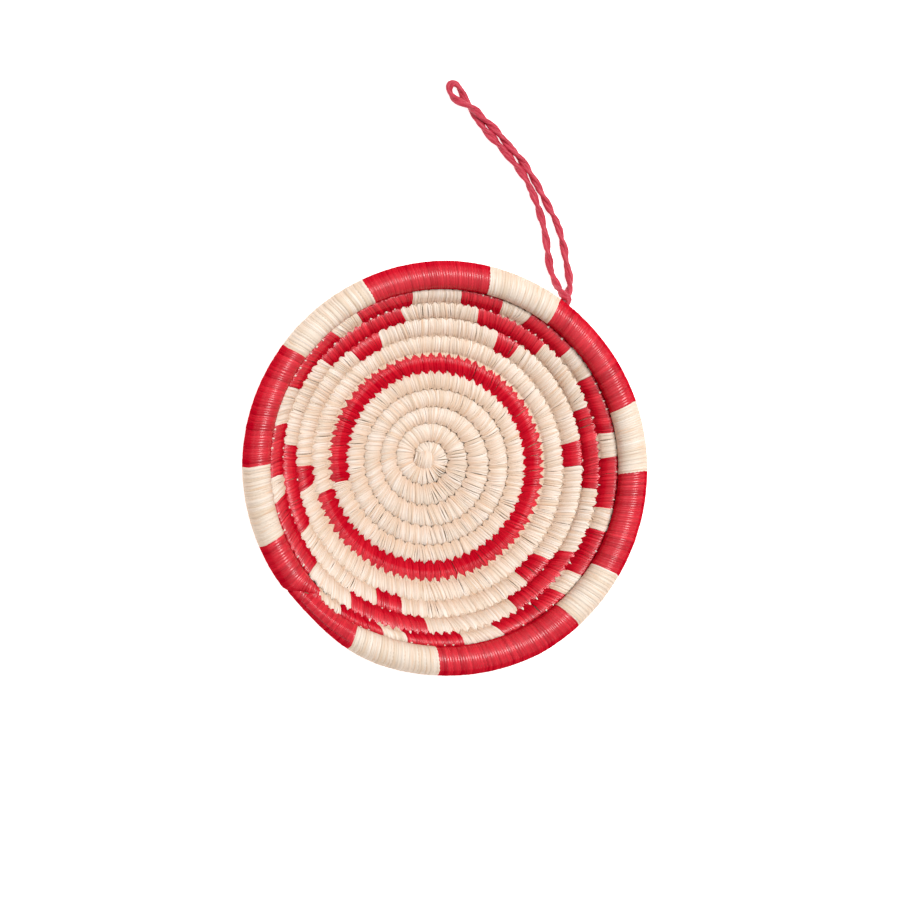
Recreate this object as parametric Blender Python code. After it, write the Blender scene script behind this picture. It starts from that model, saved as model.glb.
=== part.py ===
# Coiled bowl ornament: one long bundle wound into a shallow bowl, and a hanging loop of twisted cord.
# Metres, +Z up. The bowl stands on z = 0 with the middle of its outline at x = y = 0.

import math

import bmesh
import bpy
import numpy as np
from mathutils import Vector

# The coil, seen from above: it starts in the middle and runs outwards clockwise
STEPS_PER_TURN = 40
START_ANGLE = 240.4
ROW_TURNS = 10.05
ROW_THICKNESS = 0.0044
GROOVE_THICKNESS = 0.0026
BUTTON_TURNS = 1.2

# A row's section: where its points lie across it, and how high its upper sides are between groove and crest
UPPER_SHARES = (0.22, 0.5, 0.78)
LOWER_SHARES = (0.3, 0.7)
SIDE_RISE = 0.75

# How far apart the rows are, after so many turns from the middle
ROW_PITCHES = ((6.4, 0.0046), (6.9, 0.00495), (8.2, 0.00495), (8.6, 0.00435))

# How steeply the wall climbs, in degrees, after so many turns from the middle
WALL_SLOPES = ((5.8, 0.0), (6.4, 14.0), (7.4, 18.0), (8.2, 32.0), (8.8, 40.0))

# How far the rows lie off a common middle in x and y, as they do in a bowl wound by hand
ROW_DRIFTS = (
    (1.6, -0.0026, 0.0020),
    (3.4, -0.0013, 0.0010),
    (5.5, -0.0013, 0.0010),
    (6.5, -0.0011, 0.0008),
    (7.5, -0.0007, 0.0006),
    (8.5, -0.0006, 0.0007),
    (9.2, -0.0003, 0.0008),
    (9.6, 0.0001, 0.0004),
    (10.05, 0.0003, -0.0001),
)

# The thick last round, which varies by hand and tapers into its own start
RIM_THICKNESSES = (
    (10.17, 0.0068),
    (10.26, 0.0064),
    (10.34, 0.0065),
    (10.42, 0.0069),
    (10.55, 0.0068),
    (10.67, 0.0071),
    (10.76, 0.0074),
    (10.84, 0.0078),
    (10.92, 0.0071),
    (10.98, 0.0070),
)
RIM_LEAN = 35.0
RIM_STEP_OUT = 0.0010
RIM_STEP_UP = 0.0006
RIM_POINTS = 9
TAPER_TURNS = 0.08
TAPER_THICKNESS = 0.0038
TAPER_SPREAD = 0.0013
RIM_JOIN_TURNS = 0.5
RIM_JOIN_LEAD = 0.35

# The hanging loop
CORD_DIAMETER = 0.0017
CORD_SPACING = 2.0
CORD_GAP = 0.00045
CURVE_SAMPLES = 24
EXIT_TILT = -62.0
LEAVING_ANGLE = 51.0
RETURNING_ANGLE = 53.4

# The cord's own way between the two places where it meets the rim, from the middle of the coil
LOOP_ROUTE = (
    (0.03206, 0.04086, 0.0078),
    (0.03111, 0.04176, 0.0076),
    (0.03044, 0.04301, 0.0058),
    (0.03003, 0.04475, 0.0032),
    (0.02959, 0.04668, 0.0017),
    (0.02895, 0.04934, 0.0011),
    (0.02843, 0.05274, 0.0010),
    (0.02743, 0.05876, 0.0010),
    (0.02565, 0.06478, 0.0010),
    (0.02366, 0.06927, 0.0010),
    (0.02209, 0.07180, 0.0010),
    (0.01782, 0.07717, 0.0010),
    (0.01297, 0.08232, 0.0010),
    (0.01116, 0.08473, 0.0010),
    (0.00967, 0.08666, 0.0010),
    (0.00851, 0.08875, 0.0010),
    (0.00748, 0.09062, 0.0010),
    (0.00659, 0.09226, 0.0010),
    (0.00556, 0.09367, 0.0010),
    (0.00421, 0.09395, 0.0010),
    (0.00356, 0.09274, 0.0010),
    (0.00417, 0.09103, 0.0014),
    (0.00565, 0.08967, 0.0024),
    (0.00791, 0.08846, 0.0030),
    (0.01004, 0.08708, 0.0027),
    (0.01207, 0.08544, 0.0018),
    (0.01448, 0.08340, 0.0011),
    (0.01932, 0.07819, 0.0010),
    (0.02362, 0.07276, 0.0010),
    (0.02662, 0.06773, 0.0010),
    (0.02801, 0.06518, 0.0010),
    (0.03079, 0.05955, 0.0010),
    (0.03238, 0.05428, 0.0010),
    (0.03336, 0.04900, 0.0011),
    (0.03364, 0.04672, 0.0016),
    (0.03356, 0.04479, 0.0026),
    (0.03308, 0.04325, 0.0037),
    (0.03226, 0.04208, 0.0049),
    (0.03129, 0.04091, 0.0058),
)

STRAW = (0.90, 0.72, 0.55)
CORD_RED = (0.75, 0.06, 0.08)


def smooth(share):
    share = min(max(share, 0.0), 1.0)
    return share * share * (3.0 - 2.0 * share)


def by_turn(table, turns, column=1):
    """The value that the table gives after so many turns."""
    return float(np.interp(turns, [row[0] for row in table], [row[column] for row in table]))


def mixed(first, second, share):
    return [a + (b - a) * share for a, b in zip(first, second)]


def bearing(turns):
    """The direction, seen from above, of the coil after so many turns."""
    return math.radians(START_ANGLE - 360.0 * turns)


def middle_line():
    """Radius and height of the wall's middle at each step along the coil."""
    step = 1.0 / STEPS_PER_TURN
    radius, height = 0.0, ROW_THICKNESS / 2
    places = [(radius, height)]
    for index in range(int(round((ROW_TURNS + 1.0) * STEPS_PER_TURN))):
        turns = (index + 0.5) * step
        slope = math.radians(by_turn(WALL_SLOPES, turns))
        pitch = by_turn(ROW_PITCHES, turns)
        radius += pitch * step * math.cos(slope)
        height += pitch * step * math.sin(slope)
        places.append((radius, height))
    return places


MIDDLE_LINE = middle_line()


def spiral_place(turns):
    return MIDDLE_LINE[int(round(turns * STEPS_PER_TURN))]


def edge_place(turns):
    """Where the wall's last row meets the rim: nearly level, and a true circle but for its small step.

    Near the coil's end the edge moves out, so the last row keeps its width beside the tapering rim."""
    radius, height = spiral_place(ROW_TURNS)
    past = turns - ROW_TURNS
    spread = TAPER_SPREAD * smooth((past - 0.5 + TAPER_TURNS) / TAPER_TURNS)
    return radius + RIM_STEP_OUT * past + spread, height + RIM_STEP_UP * past


def groove_place(turns):
    """Radius and height of the wall's middle in the groove outside the row that is half a turn back."""
    if turns <= 0.0:
        return 0.0, ROW_THICKNESS / 2
    join = smooth((turns - (ROW_TURNS - 0.5 - RIM_JOIN_LEAD)) / RIM_JOIN_TURNS)
    return mixed(spiral_place(turns), edge_place(turns), join)


def groove_normal(turns):
    slope = math.radians(by_turn(WALL_SLOPES, turns))
    return -math.sin(slope), math.cos(slope)


def rim_radius(turns):
    """Half the rim's thickness, which tapers at the end of its round."""
    left = (ROW_TURNS + 1.0 - turns) / TAPER_TURNS
    full = by_turn(RIM_THICKNESSES, turns)
    return 0.5 * (TAPER_THICKNESS + (full - TAPER_THICKNESS) * smooth(left))


def rim_place(turns):
    """Radius and height of the rim's middle, so that its skin passes through both sides of the groove."""
    radius, height = edge_place(turns - 0.5)
    reach = math.sqrt(rim_radius(turns) ** 2 - (GROOVE_THICKNESS / 2) ** 2)
    lean = math.radians(RIM_LEAN)
    return radius + reach * math.cos(lean), height + reach * math.sin(lean)


def in_space(radius, height, direction, turns):
    """A point at this radius and height on the ray in this direction, with the drift after so many turns."""
    x = by_turn(ROW_DRIFTS, turns, 1) + radius * math.cos(direction)
    y = by_turn(ROW_DRIFTS, turns, 2) + radius * math.sin(direction)
    return x, y, height


def add_material(obj, name, colour, roughness):
    material = bpy.data.materials.new(name)
    material.use_nodes = True
    shader = material.node_tree.nodes["Principled BSDF"]
    shader.inputs["Base Color"].default_value = (*colour, 1.0)
    shader.inputs["Roughness"].default_value = roughness
    shader.inputs["Metallic"].default_value = 0.0
    obj.data.materials.append(material)


class CoilMesh:
    """The bowl's one closed skin, made of ribbons that share the grooves between rows."""

    def __init__(self):
        self.mesh = bmesh.new()
        self.grooves = {}

    def point(self, place):
        return self.mesh.verts.new(place)

    def groove(self, index, side):
        """The groove's point on the upper (+1) or the lower (-1) side, made once and shared by two rows."""
        first = STEPS_PER_TURN // 10
        key = (index if index > first else 0, side)
        if key not in self.grooves:
            turns = key[0] / STEPS_PER_TURN
            radius, height = groove_place(turns)
            normal = groove_normal(turns)
            half = side * GROOVE_THICKNESS / 2
            radius, height = radius + half * normal[0], height + half * normal[1]
            if side < 0 and turns < BUTTON_TURNS:
                height = 0.0
            if key[0] == 0:
                radius = 0.0
            self.grooves[key] = self.point(in_space(radius, height, bearing(turns - 0.5), turns))
        return self.grooves[key]

    def row_points(self, index, shares, heights):
        """Points across one row, between its two grooves, at these heights above the wall's middle."""
        turns = index / STEPS_PER_TURN
        inner = groove_place(turns - 0.5)
        outer = groove_place(turns + 0.5)
        along = Vector((outer[0] - inner[0], outer[1] - inner[1])).normalized()
        up = Vector((-along.y, along.x))
        points = []
        for share, height in zip(shares, heights):
            place = Vector(mixed(inner, outer, share)) + up * height
            points.append(self.point(in_space(place.x, place.y, bearing(turns), turns)))
        return points

    def upper_rib(self, index):
        half_turn = STEPS_PER_TURN // 2
        crest = ROW_THICKNESS / 2
        side = GROOVE_THICKNESS / 2 + SIDE_RISE * (crest - GROOVE_THICKNESS / 2)
        across = self.row_points(index, UPPER_SHARES, (side, crest, side))
        return [self.groove(index - half_turn, 1), *across, self.groove(index + half_turn, 1)]

    def lower_rib(self, index):
        half_turn = STEPS_PER_TURN // 2
        crest = -ROW_THICKNESS / 2
        across = self.row_points(index, LOWER_SHARES, (crest, crest))
        return [self.groove(index - half_turn, -1), *across, self.groove(index + half_turn, -1)]

    def rim_rib(self, index):
        """From the upper groove over the rim and back to the lower groove."""
        turns = index / STEPS_PER_TURN
        radius, height = rim_place(turns)
        size = rim_radius(turns)
        lean = math.radians(RIM_LEAN)
        meets = math.pi - math.asin(GROOVE_THICKNESS / 2 / size)
        over = []
        for number in range(1, RIM_POINTS + 1):
            turn = lean + meets - 2.0 * meets * number / (RIM_POINTS + 1)
            place = (radius + size * math.cos(turn), height + size * math.sin(turn))
            over.append(self.point(in_space(*place, bearing(turns), turns - 0.5)))
        groove = index - STEPS_PER_TURN // 2
        return [self.groove(groove, 1), *over, self.groove(groove, -1)]

    def join(self, left, right):
        """Faces between two ribs of any number of points."""
        a, b = 0, 0
        while a < len(left) - 1 or b < len(right) - 1:
            left_share = (a + 1) / max(len(left) - 1, 1)
            right_share = (b + 1) / max(len(right) - 1, 1)
            if b == len(right) - 1 or (a < len(left) - 1 and left_share <= right_share):
                corners = (left[a], right[b], left[a + 1])
                a += 1
            else:
                corners = (left[a], right[b], right[b + 1])
                b += 1
            if len(set(corners)) == 3:
                self.mesh.faces.new(corners)


def make_bowl():
    coil = CoilMesh()
    half_turn = STEPS_PER_TURN // 2
    last = int(round(ROW_TURNS * STEPS_PER_TURN))
    first = 1 + STEPS_PER_TURN // 10 - half_turn
    upper = [coil.groove(0, 1)]
    lower = [coil.groove(0, -1)]
    for index in range(first, last + 1):
        next_upper, next_lower = coil.upper_rib(index), coil.lower_rib(index)
        coil.join(upper, next_upper)
        coil.join(next_lower, lower)
        upper, lower = next_upper, next_lower
    rim = coil.rim_rib(last + STEPS_PER_TURN)
    following = rim
    for index in range(last + STEPS_PER_TURN - 1, last, -1):
        before = coil.rim_rib(index)
        coil.join(before, following)
        following = before
    # The row's end, with the rim's tapered end beyond it, becomes the start of the rim
    coil.join(upper + rim[1:-1] + lower[::-1], following)
    bmesh.ops.recalc_face_normals(coil.mesh, faces=coil.mesh.faces)
    data = bpy.data.meshes.new("coiled_bowl")
    coil.mesh.to_mesh(data)
    coil.mesh.free()
    data.shade_smooth()
    bowl = bpy.data.objects.new("coiled_bowl", data)
    bpy.context.scene.collection.objects.link(bowl)
    add_material(bowl, "straw_coil", STRAW, 0.6)
    return bowl


def centre_outline(bowl):
    """Moves the bowl's mesh so that the middle of its outline is the origin, and returns the shift."""
    xs = [vertex.co.x for vertex in bowl.data.vertices]
    ys = [vertex.co.y for vertex in bowl.data.vertices]
    shift = Vector((-(min(xs) + max(xs)) / 2, -(min(ys) + max(ys)) / 2, 0.0))
    for vertex in bowl.data.vertices:
        vertex.co += shift
    return shift


def turns_towards(angle):
    """How many turns along the coil the rim passes this angle."""
    turns = (START_ANGLE - angle) / 360.0
    return turns + math.ceil(ROW_TURNS - turns)


def rim_exit(angle, shift, away):
    """A place under the rim at this angle, this far from its skin."""
    turns = turns_towards(angle)
    radius, height = rim_place(turns)
    reach = rim_radius(turns) + away
    tilt = math.radians(EXIT_TILT)
    place = (radius + reach * math.cos(tilt), height + reach * math.sin(tilt))
    return Vector(in_space(*place, bearing(turns), turns - 0.5)) + shift


def smooth_way(corners):
    """Many points on a smooth curve through all the corners."""
    ends = [corners[0] * 2 - corners[1], *corners, corners[-1] * 2 - corners[-2]]
    way = []
    for a, b, c, d in zip(ends, ends[1:], ends[2:], ends[3:]):
        for number in range(CURVE_SAMPLES):
            t = number / CURVE_SAMPLES
            squared = 2 * a - 5 * b + 4 * c - d
            cubed = 3 * b - a - 3 * c + d
            way.append(0.5 * (2 * b + (c - a) * t + squared * t**2 + cubed * t**3))
    way.append(corners[-1])
    return way


def evenly(way, spacing):
    """Points at even distances along the way, with both of its ends."""
    lengths = [0.0]
    for a, b in zip(way, way[1:]):
        lengths.append(lengths[-1] + (b - a).length)
    count = max(2, int(round(lengths[-1] / spacing)))
    marks = np.linspace(0.0, lengths[-1], count + 1)
    axes = [np.interp(marks, lengths, [point[axis] for point in way]) for axis in range(3)]
    return list(zip(*axes))


def make_loop(shift):
    beyond = CORD_GAP + CORD_DIAMETER
    corners = [rim_exit(LEAVING_ANGLE, shift, CORD_GAP), rim_exit(LEAVING_ANGLE, shift, beyond)]
    corners += [Vector(place) + shift for place in LOOP_ROUTE]
    corners += [rim_exit(RETURNING_ANGLE, shift, beyond), rim_exit(RETURNING_ANGLE, shift, CORD_GAP)]
    points = evenly(smooth_way(corners), CORD_SPACING * CORD_DIAMETER)
    curve = bpy.data.curves.new("hanging_loop", "CURVE")
    curve.dimensions = "3D"
    curve.bevel_depth = CORD_DIAMETER / 2
    curve.bevel_resolution = 2
    curve.use_fill_caps = True
    spline = curve.splines.new("POLY")
    spline.points.add(len(points) - 1)
    for point, place in zip(spline.points, points):
        point.co = (*place, 1.0)
    loop = bpy.data.objects.new("hanging_loop", curve)
    bpy.context.scene.collection.objects.link(loop)
    add_material(loop, "red_cord", CORD_RED, 0.5)


def main():
    for obj in list(bpy.data.objects):
        bpy.data.objects.remove(obj, do_unlink=True)
    bowl = make_bowl()
    shift = centre_outline(bowl)
    make_loop(shift)


main()
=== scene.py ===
# Small coiled bowl of natural and red raffia, with a hanging loop of twisted cord.
# Metres, +Z up: the bowl stands on z = 0 and the loop lies beside it towards +Y.

import math
import random

import bpy
import numpy as np
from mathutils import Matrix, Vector


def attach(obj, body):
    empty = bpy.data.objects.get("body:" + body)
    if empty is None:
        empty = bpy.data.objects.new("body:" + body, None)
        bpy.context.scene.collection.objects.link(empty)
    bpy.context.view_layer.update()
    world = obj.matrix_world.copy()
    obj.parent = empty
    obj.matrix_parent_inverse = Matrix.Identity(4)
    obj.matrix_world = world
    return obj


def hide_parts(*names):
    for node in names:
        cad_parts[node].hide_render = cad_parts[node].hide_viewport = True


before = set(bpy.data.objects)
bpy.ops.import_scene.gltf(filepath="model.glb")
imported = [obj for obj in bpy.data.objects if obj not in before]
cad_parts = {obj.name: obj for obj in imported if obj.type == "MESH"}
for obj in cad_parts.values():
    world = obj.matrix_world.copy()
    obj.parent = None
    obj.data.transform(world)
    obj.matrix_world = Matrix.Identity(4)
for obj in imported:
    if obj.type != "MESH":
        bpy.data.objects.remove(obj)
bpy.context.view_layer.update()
random.seed(7)
dice = np.random.default_rng(7)
print("frame loaded:", ", ".join(sorted(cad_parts)))


# The coil that everything follows.

coil = {
    "startAngle": 240.4,
    "rowTurns": 10.05,
    "pitchTurns": (6.4, 6.9, 8.2, 8.6),
    "pitches": (0.0046, 0.00495, 0.00495, 0.00435),
    "rowThickness": 0.0044,
    "slopeTurns": (5.8, 6.4, 7.4, 8.2, 8.8),
    "slopeDegrees": (0.0, 14.0, 18.0, 32.0, 40.0),
    "driftTurns": (1.6, 3.4, 5.5, 6.5, 7.5, 8.5, 9.2, 9.6, 10.05),
    "driftsX": (-0.0026, -0.0013, -0.0013, -0.0011, -0.0007, -0.0006, -0.0003, 0.0001, 0.0003),
    "driftsY": (0.0020, 0.0010, 0.0010, 0.0008, 0.0006, 0.0007, 0.0008, 0.0004, -0.0001),
    "fineSteps": 400,
}

rim = {
    "turns": (10.17, 10.26, 10.34, 10.42, 10.55, 10.67, 10.76, 10.84, 10.92, 10.98),
    "thicknesses": (0.0068, 0.0064, 0.0065, 0.0069, 0.0068, 0.0071, 0.0074, 0.0078, 0.0071, 0.0070),
    "lean": 35.0,
    "stepOut": 0.0010,
    "stepUp": 0.0006,
    "taperTurns": 0.08,
    "taperThickness": 0.0038,
    "taperSpread": 0.0013,
    "joinTurns": 0.5,
    "joinLead": 0.35,
    "groove": 0.0026,
}


def smooth(share):
    share = np.clip(share, 0.0, 1.0)
    return share * share * (3.0 - 2.0 * share)


def bearing(turns):
    return np.radians(coil["startAngle"] - 360.0 * turns)


def wallLine():
    # radius and height of the wall's middle along the whole coil
    step = 1.0 / coil["fineSteps"]
    count = int(round((coil["rowTurns"] + 1.6) * coil["fineSteps"]))
    middles = (np.arange(count) + 0.5) * step
    slopes = np.radians(np.interp(middles, coil["slopeTurns"], coil["slopeDegrees"]))
    pitches = np.interp(middles, coil["pitchTurns"], coil["pitches"]) * step
    radius = np.concatenate([[0.0], np.cumsum(np.cos(slopes) * pitches)])
    height = np.concatenate([[0.0], np.cumsum(np.sin(slopes) * pitches)])
    return np.arange(count + 1) * step, radius, height + coil["rowThickness"] / 2


lineTurns, lineRadius, lineHeight = wallLine()


def spiralAt(turns):
    return np.interp(turns, lineTurns, lineRadius), np.interp(turns, lineTurns, lineHeight)


def edgeAt(turns):
    # where the wall's last row meets the rim
    radius, height = spiralAt(coil["rowTurns"])
    past = turns - coil["rowTurns"]
    spread = rim["taperSpread"] * smooth((past - 0.5 + rim["taperTurns"]) / rim["taperTurns"])
    return radius + rim["stepOut"] * past + spread, height + rim["stepUp"] * past


def grooveAt(turns):
    turns = np.maximum(turns, 0.0)
    join = smooth((turns - (coil["rowTurns"] - 0.5 - rim["joinLead"])) / rim["joinTurns"])
    first, second = spiralAt(turns), edgeAt(turns)
    return first[0] + (second[0] - first[0]) * join, first[1] + (second[1] - first[1]) * join


def rimRadius(turns):
    left = (coil["rowTurns"] + 1.0 - turns) / rim["taperTurns"]
    full = np.interp(turns, rim["turns"], rim["thicknesses"])
    return 0.5 * (rim["taperThickness"] + (full - rim["taperThickness"]) * smooth(left))


def rimMiddle(turns):
    radius, height = edgeAt(turns - 0.5)
    reach = np.sqrt(rimRadius(turns) ** 2 - (rim["groove"] / 2) ** 2)
    lean = math.radians(rim["lean"])
    return radius + reach * math.cos(lean), height + reach * math.sin(lean)


def inSpace(radius, height, turns, wallTurns):
    # turns gives the direction, and wallTurns how far up the wall the place is
    direction = bearing(turns)
    x = np.interp(wallTurns, coil["driftTurns"], coil["driftsX"]) + radius * np.cos(direction)
    y = np.interp(wallTurns, coil["driftTurns"], coil["driftsY"]) + radius * np.sin(direction)
    return np.stack(np.broadcast_arrays(x, y, height), axis=-1)


def middleOfOutline():
    # the solid rim's own points, whose outline is centred on the origin
    turns = (np.arange(40)[:, None] + 1.0) / 40 + coil["rowTurns"]
    size = rimRadius(turns)
    meets = math.pi - np.arcsin(rim["groove"] / 2 / size)
    turn = math.radians(rim["lean"]) + meets * (1.0 - 2.0 * (np.arange(9) + 1) / 10)
    radius, height = rimMiddle(turns)
    places = inSpace(radius + size * np.cos(turn), height + size * np.sin(turn), turns, turns - 0.5)
    places = places.reshape(-1, 3)
    middle = (places.min(axis=0) + places.max(axis=0)) / 2
    return np.array([-middle[0], -middle[1], 0.0])


shift = middleOfOutline()


def rowPlace(turns, share, lift):
    # a point on the row at this turn: share runs from its inner to its outer groove
    inner, outer = grooveAt(turns - 0.5), grooveAt(turns + 0.5)
    alongR, alongZ = outer[0] - inner[0], outer[1] - inner[1]
    length = np.sqrt(alongR**2 + alongZ**2)
    radius = inner[0] + alongR * share - alongZ / length * lift
    height = inner[1] + alongZ * share + alongR / length * lift
    return inSpace(radius, height, turns, turns - 0.5 + share) + shift


def rimPlace(turns, around, proud):
    # a point round the rim: around runs from the upper groove over the top to the lower groove
    size = rimRadius(turns)
    meets = math.pi - np.arcsin(rim["groove"] / 2 / size)
    turn = math.radians(rim["lean"]) + meets * (1.0 - 2.0 * around)
    radius, height = rimMiddle(turns)
    reach = size + proud
    place = inSpace(radius + reach * np.cos(turn), height + reach * np.sin(turn), turns, turns - 0.5)
    return place + shift


def asTurns(angle):
    turns = (coil["startAngle"] - angle) / 360.0
    return turns + math.ceil(coil["rowTurns"] - turns)


print("coil worked out, outline shifted by", [round(float(value) * 1000, 2) for value in shift], "mm")


# The camera stands where the photographer stood.

camera = {
    "tilt": 11.5,  # degrees from straight above, leaning to the left
    "distance": 1.2,
    "lens": 195.6,
    "sensor": 36.0,
    "aimAcross": 0.003965,  # how far right of the coil's middle, in the picture, it looks
    "aimUp": 0.004012,
    "rimAcross": 0.001535,  # where the middle of the rim is in the picture
    "rimUp": -0.000128,
}


def addCamera():
    tilt = math.radians(camera["tilt"])
    right = Vector((math.cos(tilt), 0.0, math.sin(tilt)))
    back = Vector((-math.sin(tilt), 0.0, math.cos(tilt)))
    aim = right * camera["aimAcross"] + Vector((0.0, camera["aimUp"], 0.0))
    aim += right * float(shift[0]) * math.cos(tilt) + Vector((0.0, float(shift[1]), 0.0))
    bpy.ops.object.camera_add(location=aim + back * camera["distance"], rotation=(0.0, -tilt, 0.0))
    eye = bpy.context.object
    eye.name = "photoCamera"
    eye.data.lens = camera["lens"]
    eye.data.sensor_width = camera["sensor"]
    bpy.context.scene.camera = eye


def seenAngle(places):
    # the angle at which the camera sees these points about the middle of the rim, in degrees
    tilt = math.radians(camera["tilt"])
    places = places - shift
    across = places[..., 0] * math.cos(tilt) + places[..., 2] * math.sin(tilt) - camera["rimAcross"]
    return np.degrees(np.arctan2(places[..., 1] - camera["rimUp"], across))


addCamera()
print("camera placed")


# Strands: one is modelled, then bent along every place where it lies.

def deselectAll():
    if bpy.context.object and bpy.context.object.mode != "OBJECT":
        bpy.ops.object.mode_set(mode="OBJECT")
    bpy.ops.object.select_all(action="DESELECT")


def strandPattern(sides, *parts, flat=False):
    # one straight strand, one unit long, modelled once and then copied along every stitch;
    # its length is divided into the first number of parts, and each of those into the next number
    deselectAll()
    bpy.ops.mesh.primitive_cylinder_add(vertices=sides, radius=1.0, depth=1.0, end_fill_type="NGON")
    strand = bpy.context.object
    for number in parts:
        bpy.ops.object.mode_set(mode="EDIT")
        bpy.ops.mesh.select_mode(type="EDGE")
        bpy.ops.mesh.select_all(action="DESELECT")
        bpy.ops.object.mode_set(mode="OBJECT")
        for edge in strand.data.edges:
            low, high = (strand.data.vertices[index].co.z for index in edge.vertices)
            edge.select = abs(low - high) > 1e-5
        bpy.ops.object.mode_set(mode="EDIT")
        bpy.ops.mesh.subdivide(number_cuts=number - 1)
        bpy.ops.object.mode_set(mode="OBJECT")
    pattern = patternOf(strand)
    bpy.data.objects.remove(strand, do_unlink=True)
    if flat:  # split raffia is a ribbon with round edges
        places = pattern["places"]
        places[:, 0] = np.sign(places[:, 0]) * np.abs(places[:, 0]) ** 0.6
        places[:, 1] = np.sign(places[:, 1]) * np.abs(places[:, 1]) ** 0.4
    return pattern


def patternOf(obj):
    data = obj.data
    places = np.array([tuple(vertex.co) for vertex in data.vertices])
    corners = np.array([loop.vertex_index for loop in data.loops])
    totals = np.array([polygon.loop_total for polygon in data.polygons])
    return {"places": places, "corners": corners, "totals": totals}


def levels(pattern, rings):
    # the ring on which each of the pattern's points lies
    return np.rint((pattern["places"][:, 2] + 0.5) * rings).astype(int)


def meshOfCopies(name, pattern, places, spread, tones, outward, material):
    # places is (copies, points of one copy, 3); spread holds each point's own texture place,
    # tones how pale it is, and outward how far it lies towards its row's outer side, which sets painted shade
    # and sheen
    copies, count = places.shape[:2]
    offsets = np.arange(copies)[:, None] * count
    corners = (pattern["corners"][None, :] + offsets).ravel()
    totals = np.tile(pattern["totals"], copies)
    starts = np.concatenate([[0], np.cumsum(totals)[:-1]])
    data = bpy.data.meshes.new(name)
    data.vertices.add(copies * count)
    data.vertices.foreach_set("co", places.reshape(-1).astype(np.float32))
    data.loops.add(len(corners))
    data.loops.foreach_set("vertex_index", corners.astype(np.int32))
    data.polygons.add(len(totals))
    data.polygons.foreach_set("loop_start", starts.astype(np.int32))
    data.polygons.foreach_set("loop_total", totals.astype(np.int32))
    data.update(calc_edges=True)
    layer = data.uv_layers.new(name="strandMap")
    layer.data.foreach_set("uv", spread.reshape(-1, 2)[corners].reshape(-1).astype(np.float32))
    for label, values in (("tone", tones), ("outward", outward)):
        values = np.broadcast_to(values, (copies, count)).astype(np.float32)
        data.attributes.new(label, "FLOAT", "POINT").data.foreach_set("value", values.ravel())
    data.shade_smooth()
    obj = bpy.data.objects.new(name, data)
    bpy.context.scene.collection.objects.link(obj)
    data.materials.append(material)
    data.validate()
    return obj


def bowlPiece(obj):
    # normals outward, and the piece joined to the bowl
    deselectAll()
    obj.select_set(True)
    bpy.context.view_layer.objects.active = obj
    bpy.ops.object.mode_set(mode="EDIT")
    bpy.ops.mesh.select_all(action="SELECT")
    bpy.ops.mesh.normals_make_consistent(inside=False)
    bpy.ops.object.mode_set(mode="OBJECT")
    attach(obj, "root")
    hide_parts("coiled_bowl")


def sweptStrands(pattern, line, sideways, halfWidth, halfThick):
    # bends the pattern along each line: line and sideways are (copies, rings + 1, 3)
    rings = line.shape[1] - 1
    level = levels(pattern, rings)
    ahead = np.gradient(line, axis=1)
    ahead /= np.linalg.norm(ahead, axis=2, keepdims=True)
    side = sideways - ahead * np.sum(sideways * ahead, axis=2, keepdims=True)
    side /= np.linalg.norm(side, axis=2, keepdims=True)
    up = np.cross(side, ahead)
    x = pattern["places"][:, 0][None, :, None] * halfWidth[:, level][..., None]
    y = pattern["places"][:, 1][None, :, None] * halfThick[:, level][..., None]
    return line[:, level] + side[:, level] * x + up[:, level] * y


def strandMap(pattern, line, halfWidth):
    # texture places in millimetres: across the strand, and along it
    rings = line.shape[1] - 1
    level = levels(pattern, rings)
    steps = np.linalg.norm(np.diff(line, axis=1), axis=2)
    along = np.concatenate([np.zeros((len(line), 1)), np.cumsum(steps, axis=1)], axis=1) * 1000
    across = pattern["places"][:, 0][None, :] * halfWidth[:, level] * 1000
    number = np.arange(len(line))[:, None]
    return np.stack([across + number * 7.3, along[:, level] + (number * 3.7) % 91.0], axis=-1)


# Raffia, undyed and red, the straw inside it, and the red cord.

raffiaLook = {
    "natural": {
        "colour": (0.68, 0.545, 0.42),
        "pale": (0.82, 0.72, 0.63),
        "streak": (0.68, 0.40, 0.22),
        "streakShare": 0.65,
        "inner": (0.62, 0.38, 0.235),  # painted shade: darker and warmer towards the inner side of each row
        "innerShadeShare": 0.45,
        "roughness": 0.55,
        "shine": (0.25, 0.45),
        "bump": 0.00005,
    },
    "red": {
        "colour": (0.46, 0.001, 0.013),
        "pale": (0.73, 0.020, 0.038),
        "streak": (0.32, 0.001, 0.008),
        "streakShare": 0.4,
        "inner": (0.38, 0.001, 0.009),
        "innerShadeShare": 0.55,
        "roughness": 0.33,
        # painted sheen: the specular level runs from the inner to the outer side of each row
        "shine": (0.0, 0.85),
        "bump": 0.00004,
    },
    "core": {
        # painted shade: the straw's dark colour stands for the shade deep in the grooves between rows
        "colour": (0.10, 0.055, 0.03),
        "pale": (0.56, 0.42, 0.27),
        "streak": (0.30, 0.18, 0.09),
        "streakShare": 0.3,
        "inner": (0.40, 0.26, 0.14),
        "innerShadeShare": 0.0,
        "roughness": 0.65,
        "shine": (0.2, 0.2),
        "bump": 0.0001,
    },
    "cord": {
        "colour": (0.38, 0.010, 0.030),
        "pale": (0.58, 0.045, 0.080),
        "streak": (0.26, 0.002, 0.012),
        "streakShare": 0.5,
        "inner": (0.46, 0.001, 0.012),
        "innerShadeShare": 0.0,
        "roughness": 0.5,
        "shine": (0.4, 0.4),
        "bump": 0.00005,
    },
}


def node(tree, kind, place, **values):
    made = tree.nodes.new(kind)
    made.location = place
    for name, value in values.items():
        setattr(made, name, value)
    return made


def mixColours(tree, place, share, first, second):
    mix = node(tree, "ShaderNodeMix", place, data_type="RGBA")
    tree.links.new(share, mix.inputs[0])
    for socket, value in ((mix.inputs[6], first), (mix.inputs[7], second)):
        if isinstance(value, tuple):
            socket.default_value = (*value, 1.0)
        else:
            tree.links.new(value, socket)
    return mix.outputs[2]


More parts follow.
